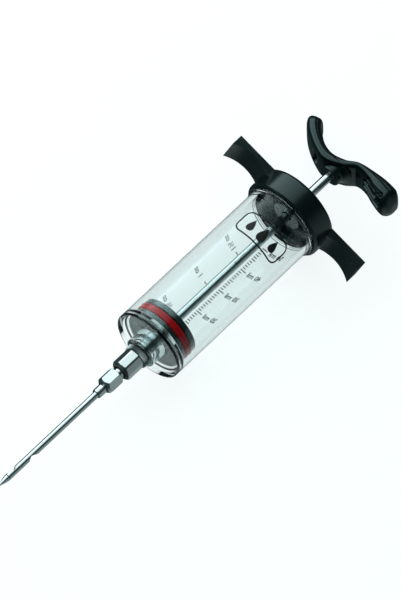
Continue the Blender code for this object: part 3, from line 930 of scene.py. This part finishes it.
CAP_X = (85.2, 96.8)
CAP_R = reach("finger_cap")[2] - 0.01
CAP_BORE_R = 18.0
CAP_FLOOR_X = 93.6
CAP_HOLE_R = 4.1
WING_END_R = 18.9  # the wings stop here, inside the cap's skirt
WING_END_X = 96.5
WING_SPAN = 37.8
WING_WIDTH = 16.0
WING_BACK = 96.2
WING_ROOT = 12.0
WING_EDGE = 0.9
SCALLOP_R = 20.0
SCALLOP_STEPS = 28
WAIST = (93.8, 27.0)
NUT_FLATS = 11.0
BUSH_X = (88.0, 99.4)
BUSH_BORE_R = 2.4
BUSH_FLANGE_R = 7.0
BUSH_FLANGE_X = 89.8
BUSH_BODY_R = 5.5
BUSH_SHOULDER_X = 93.3
BUSH_TUBE_R = 3.8
WIPER_X = (90.6, 92.5)
WIPER_R = 4.0


def wing_tool():
    """Both finger wings as one slab, scalloped where the fingers pull."""
    waist_x, waist_y = WAIST
    centre_x = waist_x - SCALLOP_R
    outline = [(WING_BACK, WING_SPAN)]
    for i in range(SCALLOP_STEPS + 1):
        y = WING_SPAN + (WING_ROOT - WING_SPAN) * i / SCALLOP_STEPS
        outline.append((centre_x + math.sqrt(SCALLOP_R**2 - (y - waist_y) ** 2), y))
    outline += [(x, -y) for x, y in reversed(outline)]
    return prism(outline, -WING_WIDTH / 2, WING_WIDTH / 2)


def build_cap(plastic, bright):
    x0, x1 = CAP_X
    profile = [
        (x0, CAP_BORE_R),
        (x0, CAP_BORE_R + 0.7),
        (x0 + 0.9, CAP_R - 0.1),
        (x1 - 1.6, CAP_R),
        (x1 - 0.5, CAP_R - 0.5),
        (x1, CAP_R - 1.6),
        (x1, CAP_HOLE_R),
        (CAP_FLOOR_X, CAP_HOLE_R),
        (CAP_FLOOR_X, CAP_BORE_R),
    ]
    hollow = [(0.0, 0.0), (0.0, WING_END_R), (WING_END_X, WING_END_R), (WING_END_X, 0.0)]
    wings = merged(wing_tool(), [(lathe(hollow, 128), "DIFFERENCE")], bevel=WING_EDGE)
    cap = merged(lathe(rounded(profile, 0.3), 128), [(wings, "UNION")])
    place("finger_cap_moulded", cap, "cap", plastic, "finger_cap")

    x0, x1, _ = reach("bush_nut")
    corner = NUT_FLATS / math.sqrt(3)
    nut = [
        (x0, CAP_HOLE_R),
        (x0, corner - 0.5),
        (x0 + 0.5, corner),
        (x1 - 0.5, corner),
        (x1, corner - 0.5),
        (x1, CAP_HOLE_R),
    ]
    solid = lathe(dense(rounded(nut, 0.1), 0.2), 144, flats(6, NUT_FLATS))
    place("bush_nut_turned", solid, "cap", bright, "bush_nut")

    front, back = BUSH_X
    groove_front, groove_back = WIPER_X
    bush = [
        (front, BUSH_BORE_R),
        (front, BUSH_FLANGE_R),
        (BUSH_FLANGE_X, BUSH_FLANGE_R),
        (BUSH_FLANGE_X, BUSH_BODY_R),
        (BUSH_SHOULDER_X, BUSH_BODY_R),
        (BUSH_SHOULDER_X, BUSH_TUBE_R),
        (back, BUSH_TUBE_R),
        (back, BUSH_BORE_R),
        (groove_back, BUSH_BORE_R),
        (groove_back, WIPER_R),
        (groove_front, WIPER_R),
        (groove_front, BUSH_BORE_R),
    ]
    place("guide_bush_moulded", lathe(rounded(bush, 0.25), 96), "cap", plastic, "guide_bush")


# ---------------------------------------------------------------- handle

# The grip's middle line from tip to tip: x, y, thickness along the sweep, width across it
HANDLE_SPINE = (
    (134.0, 22.8, 7.4, 13.0),
    (131.0, 21.3, 7.2, 15.0),
    (126.6, 17.4, 6.6, 16.4),
    (122.2, 11.0, 5.8, 16.8),
    (120.0, 4.0, 6.0, 16.8),
    (121.7, -3.4, 4.6, 16.8),
    (124.7, -8.8, 3.9, 17.0),
    (124.6, -15.5, 6.0, 17.2),
    (123.4, -22.0, 9.0, 17.4),
    (122.2, -27.6, 10.2, 16.2),
    (121.9, -32.0, 9.0, 13.6),
)
SPINE_STEPS = 34
SECTION_POINTS = 192
LONG_WING = (5.0, 15.0)  # over this span towards -Y the section becomes the long arm's
OVAL = 0.5  # the power of a squarish oval; 1 is a plain ellipse
FRONT_POWER = (0.42, 0.38)  # added in front on the long arm, through the grip and up it
BACK_POWER = (0.2, 0.14)  # added behind
RIM_RISE = 0.15
RIM_FADE = (0.3, 0.95)
FRONT_FROM = 0.02  # hollows are sunk only where the surface faces forwards by more than this
INWARD_LEAN = 0.8
HANDLE_ROUND = 4.8  # how far from a tip the grip reaches its full section
END_POWER = 2.1
RIM_STEP = 0.05
SLOT_EDGE = (0.45, 0.1)  # how far inside and outside its outline a hollow's side slopes
BOSS_NOSE = [(115.6, 4.6), (115.8, 5.0), (116.2, 5.2)]
FOOT_X = (117.0, 120.4)
FOOT_LENGTH = 3.4
FOOT_R = 5.2
FOOT_RISE = 3.6
FOOT_CURVE = 2.2
FOOT_STEPS = 8
HANDLE_SOCKET_X = (110.0, 121.2)
HANDLE_MOUTH_R = 2.4
INSERT_GAP = 0.3
SLOTS = (
    {"z": -7.0, "from": -15.5, "to": -27.3, "width": 1.7, "depth": 1.3},
    {"z": -4.0, "from": -13.6, "to": -27.0, "width": 2.3, "depth": 1.9},
    {"z": 0.0, "from": -13.2, "to": -26.6, "width": 2.3, "depth": 1.9},
    {"z": 4.0, "from": -13.6, "to": -27.0, "width": 2.3, "depth": 1.9},
    {"z": 7.0, "from": -15.5, "to": -27.3, "width": 1.7, "depth": 1.3},
)
POCKET = {"z": 0.0, "from": 9.0, "to": 13.4, "width": 9.6, "depth": 2.0}


def smooth_between(points, steps):
    """Points on a smooth curve (Catmull-Rom) through every given point."""
    padded = [points[0], *points, points[-1]]
    result = []
    for i in range(1, len(padded) - 2):
        p0, p1, p2, p3 = (Vector(p) for p in padded[i - 1 : i + 3])
        for k in range(steps):
            t = k / steps
            bend = 2 * p0 - 5 * p1 + 4 * p2 - p3
            twist = 3 * p1 - p0 - 3 * p2 + p3
            result.append(0.5 * (2 * p1 + (p2 - p0) * t + bend * t**2 + twist * t**3))
    result.append(Vector(points[-1]))
    return result


def step_up(value, low, high):
    t = max(0.0, min(1.0, (value - low) / (high - low)))
    return t * t * (3 - 2 * t)


def sunk(y, z, hollow):
    """How deep a round-ended hollow in a wing's front is at this place."""
    low, high = sorted((hollow["from"], hollow["to"]))
    corner = min(hollow["width"], high - low) / 2
    off_y = max(low + corner - y, 0.0, y - high + corner)
    off_z = max(abs(z - hollow["z"]) - hollow["width"] / 2 + corner, 0.0)
    inside, outside = SLOT_EDGE
    past = step_up(math.hypot(off_y, off_z), corner - inside, corner + outside)
    return hollow["depth"] * (1.0 - past)


def handle_section(point, along, ends):
    """One ring of the grip: rounded in front on the long wing, squarer behind a raised rim."""
    across = Vector((-along.y, along.x, 0.0))
    if across.x > 0:
        across = -across
    x, y, thickness, width = point
    ring = []
    long_wing = step_up(-y, *LONG_WING)
    for i in range(SECTION_POINTS):
        angle = math.tau * i / SECTION_POINTS
        c, s = math.cos(angle), math.sin(angle)
        in_front = c > 0
        side_power = OVAL + (FRONT_POWER[0] * long_wing if in_front else BACK_POWER[0])
        up_power = OVAL + (FRONT_POWER[1] * long_wing if in_front else BACK_POWER[1])
        side = math.copysign(abs(c) ** side_power, c) * thickness / 2 * ends
        up = math.copysign(abs(s) ** up_power, s) * width / 2 * ends
        if not in_front:
            up *= 1.0 - RIM_STEP * step_up(-c, 0.0, RIM_RISE) * (1.0 - step_up(-c, *RIM_FADE))
        spot = Vector((x, y, 0.0)) + across * side
        depth = 0.0
        if c > FRONT_FROM:
            depth = max(sunk(spot.y, up, hollow) for hollow in (*SLOTS, POCKET))
        inward = Vector((0.0, 0.0, -s)) * INWARD_LEAN - across * c
        ring.append(spot + Vector((0.0, 0.0, up)) + inward.normalized() * depth)
    return ring


def build_handle(plastic, metal):
    points = smooth_between(HANDLE_SPINE, SPINE_STEPS)
    lengths = [0.0]
    for first, second in zip(points, points[1:]):
        lengths.append(lengths[-1] + math.hypot(second[0] - first[0], second[1] - first[1]))
    total = lengths[-1]
    verts, faces, rows = [], [], []
    for i, point in enumerate(points):
        before, after = points[max(i - 1, 0)], points[min(i + 1, len(points) - 1)]
        along = Vector((after[0] - before[0], after[1] - before[1], 0.0)).normalized()
        edge = min(1.0, 0.05 + min(lengths[i], total - lengths[i]) / HANDLE_ROUND)
        ends = (1.0 - (1.0 - edge) ** END_POWER) ** (1 / END_POWER)
        ring = handle_section(point, along, ends)
        rows.append(range(len(verts), len(verts) + len(ring)))
        verts += [tuple(v) for v in ring]
    for first, second in zip(rows, rows[1:]):
        for i in range(len(first)):
            j = (i + 1) % len(first)
            faces.append((first[i], first[j], second[j], second[i]))
    faces.append(tuple(rows[0])[::-1])
    faces.append(tuple(rows[-1]))
    x0, x1, insert_r = reach("handle_insert")
    front, back = HANDLE_SOCKET_X
    lip_x, socket_r = x0 - INSERT_GAP, insert_r + INSERT_GAP
    socket = [
        (front, 0.0),
        (front, HANDLE_MOUTH_R),
        (lip_x, HANDLE_MOUTH_R),
        (lip_x, socket_r),
        (back, socket_r),
        (back, 0.0),
    ]
    foot = []
    for k in range(FOOT_STEPS + 1):
        t = k / FOOT_STEPS
        x = FOOT_X[0] + FOOT_LENGTH * t
        foot.append((x, FOOT_R + FOOT_RISE * t**FOOT_CURVE))
    boss = [(BOSS_NOSE[0][0], 0.0), *BOSS_NOSE, *foot, (FOOT_X[1], 0.0)]
    tools = [(lathe(boss, 96), "UNION"), (lathe(socket, 64), "DIFFERENCE")]
    place("handle_moulded", merged((verts, faces), tools), "plunger", plastic, "handle", True)

    insert = [
        (x0, HANDLE_MOUTH_R),
        (x0, insert_r - 0.3),
        (x0 + 0.3, insert_r),
        (x1, insert_r),
        (x1, HANDLE_MOUTH_R),
    ]
    solid = lathe(rounded(insert, 0.15), 64)
    place("handle_insert_turned", solid, "plunger", metal, "handle_insert", True)


# ---------------------------------------------------------------- studio

VIEW_HEIGHT = 254.6
TILT = math.radians(24.0)
LEAN = math.radians(2.8)
ROLL = math.radians(43.16)
AIM_RIGHT = 22.43
AIM_UP = 19.40
CAMERA_DISTANCE = 7.4
CAMERA_REACH = 40.0
SENSOR = 36.0
FLOOR_SIZE = 4.0
FLOOR_GAP = 0.0002
FLOOR_GLOW = 0.86
FLOOR_GLOW_FAR = 0.16
FLOOR_POOL = 170.0  # the glow is full up to here, in millimetres from the middle
FLOOR_POOL_END = 255.0
SOFTBOX_LEAN = math.radians(48.0)
SOFTBOX_DISTANCE = 1.0
SOFTBOX_SIZE = (2.4, 1.68)
SOFTBOX_RADIANCE = 2.5
SOFTBOX_FALL = (0.4, 1.55)  # its strength at one long side and at the other
SOFTBOX_COLOUR = (0.86, 0.98, 1.0)
BACKDROP = (0.94, 0.97, 0.97)
ROOM_DARK = (0.05, 0.08, 0.08)
ROOM_PALE = (0.46, 0.54, 0.54)
WALL_EDGE = (-0.88, -0.62)  # each pair is where pale ends and dark begins, along a direction
TABLE_EDGE = (-0.6, -0.1)
TABLE_SIDE = (-0.4, -0.15)


def add_camera():
    """The camera stands well above the injector, tilted towards the needle, and rolled."""
    lean = Matrix.Rotation(LEAN, 3, "X")
    back = lean @ Vector((-math.sin(TILT), 0.0, math.cos(TILT)))
    along = lean @ Vector((math.cos(TILT), 0.0, math.sin(TILT)))
    across = lean @ Vector((0.0, -1.0, 0.0))
    right = math.cos(ROLL) * along + math.sin(ROLL) * across
    up = math.sin(ROLL) * along - math.cos(ROLL) * across
    target = ORIGIN + (AIM_RIGHT * right + AIM_UP * up) * MM
    data = bpy.data.cameras.new("camera")
    data.sensor_width = SENSOR
    data.lens = data.sensor_width * CAMERA_DISTANCE / (VIEW_HEIGHT * MM)
    data.clip_end = CAMERA_REACH
    camera = bpy.data.objects.new("camera", data)
    turn = Matrix((right, up, back)).transposed().to_4x4()
    camera.matrix_world = Matrix.Translation(target + back * CAMERA_DISTANCE) @ turn
    bpy.context.scene.collection.objects.link(camera)
    bpy.context.scene.camera = camera


def add_softbox():
    """One large softbox above the injector on its +Y side, stronger along one long side."""
    data = bpy.data.lights.new("softbox", "AREA")
    data.shape = "RECTANGLE"
    data.size, data.size_y = SOFTBOX_SIZE
    data.energy = SOFTBOX_RADIANCE * math.pi * SOFTBOX_SIZE[0] * SOFTBOX_SIZE[1]
    data.color = SOFTBOX_COLOUR
    light = bpy.data.objects.new("softbox", data)
    direction = Vector((0.0, math.sin(SOFTBOX_LEAN), math.cos(SOFTBOX_LEAN))).normalized()
    middle = (CAD_LOW + CAD_HIGH) / 2
    side = Vector((1.0, 0.0, 0.0))
    side = (side - direction * side.dot(direction)).normalized()
    turn = Matrix((side, direction.cross(side), direction)).transposed().to_4x4()
    light.matrix_world = Matrix.Translation(middle + direction * SOFTBOX_DISTANCE) @ turn
    data.use_nodes = True
    tree = data.node_tree
    across = add_node(tree, "ShaderNodeNewGeometry").outputs["Parametric"]
    across = add_node(tree, "ShaderNodeSeparateXYZ", Vector=across).outputs["Y"]
    fall = spread(tree, across, *SOFTBOX_FALL, start=0.0, end=1.0)
    fill(tree, tree.nodes["Emission"], Strength=fall)
    light.visible_camera = False
    bpy.context.scene.collection.objects.link(light)


def add_world():
    """A dark room with a pale wall on the -Y side. Seen directly it is a pale backdrop."""
    world = bpy.data.worlds.new("studio")
    bpy.context.scene.world = world
    world.use_nodes = True
    tree = world.node_tree
    place_in = add_node(tree, "ShaderNodeTexCoord").outputs["Generated"]
    parts = add_node(tree, "ShaderNodeSeparateXYZ", Vector=place_in).outputs
    fades = (("Y", WALL_EDGE), ("Z", TABLE_EDGE), ("Y", TABLE_SIDE))
    wall, low, side = (spread(tree, parts[axis], 1.0, 0.0, *edge) for axis, edge in fades)
    light = maths(tree, "MAXIMUM", wall, maths(tree, "MULTIPLY", low, side))
    room = tint(tree, light, ROOM_DARK, ROOM_PALE)
    seen = add_node(tree, "ShaderNodeLightPath").outputs["Is Camera Ray"]
    fill(tree, tree.nodes["Background"], Color=tint(tree, seen, room, BACKDROP))


def add_floor():
    mesh = bpy.data.meshes.new("floor")
    low = CAD_LOW.z - FLOOR_GAP
    corners = [(-1, -1), (1, -1), (1, 1), (-1, 1)]
    corners = [(x * FLOOR_SIZE, y * FLOOR_SIZE, low) for x, y in corners]
    mesh.from_pydata(corners, [], [(0, 1, 2, 3)])
    floor = bpy.data.objects.new("floor", mesh)
    mesh.materials.append(painted_glow_floor())
    bpy.context.scene.collection.objects.link(floor)
    # Gloss picks up the dark studio round the table, not the table itself
    floor.visible_glossy = False


def build_studio():
    add_camera()
    add_world()
    add_floor()
    add_softbox()
    scene = bpy.context.scene
    scene.view_settings.view_transform = "Standard"
    scene.cycles.use_denoising = True
    scene.cycles.max_bounces = 24
    scene.cycles.transmission_bounces = 16
    scene.cycles.transparent_max_bounces = 16


# ---------------------------------------------------------------- the injector


def main():
    clear = ("clear_plastic", clear_plastic())
    steels = (
        ("bright_steel", (0.36, 0.40, 0.405), (0.46, 0.50, 0.505), (0.12, 0.24)),
        ("knurled_steel", (0.20, 0.23, 0.235), (0.30, 0.335, 0.34), (0.16, 0.28)),
    )
    bright, knurled = (("stainless_steel", steel(*look)) for look in steels)
    brass = steel("plated_brass", (0.62, 0.60, 0.50), (0.74, 0.72, 0.62), (0.18, 0.32))
    plated = ("plated_brass", brass)
    plastic = ("black_plastic", black_plastic())
    polished = ("black_plastic", black_plastic("polished_black_plastic", 1.0))
    silicone = ("red_silicone", red_silicone())
    rubber = ("black_rubber", black_rubber())
    grey_ink = print_ink("grey_ink", (0.02, 0.026, 0.026), 0.45, (0.85, 1.0))
    black_ink = print_ink("black_ink", (0.012, 0.014, 0.014), 0.35, (0.95, 1.0))

    build_barrel(clear)
    build_scale(("black_plastic", grey_ink))
    build_badge(("black_plastic", black_ink))
    build_nozzle(bright, knurled)
    build_needle(bright)
    build_ring(rubber)
    build_piston(polished, silicone, bright)
    build_cap(plastic, bright)
    build_handle(plastic, plated)

    kept = {
        "needle_gasket": rubber,
        "nozzle_washer": rubber,
        "cap_gasket": rubber,
        "rod_wiper": rubber,
        "piston_core": plastic,
    }
    for node, (_, material) in kept.items():
        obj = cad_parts[node]
        obj.data.materials.clear()
        obj.data.materials.append(material)

    build_studio()


main()
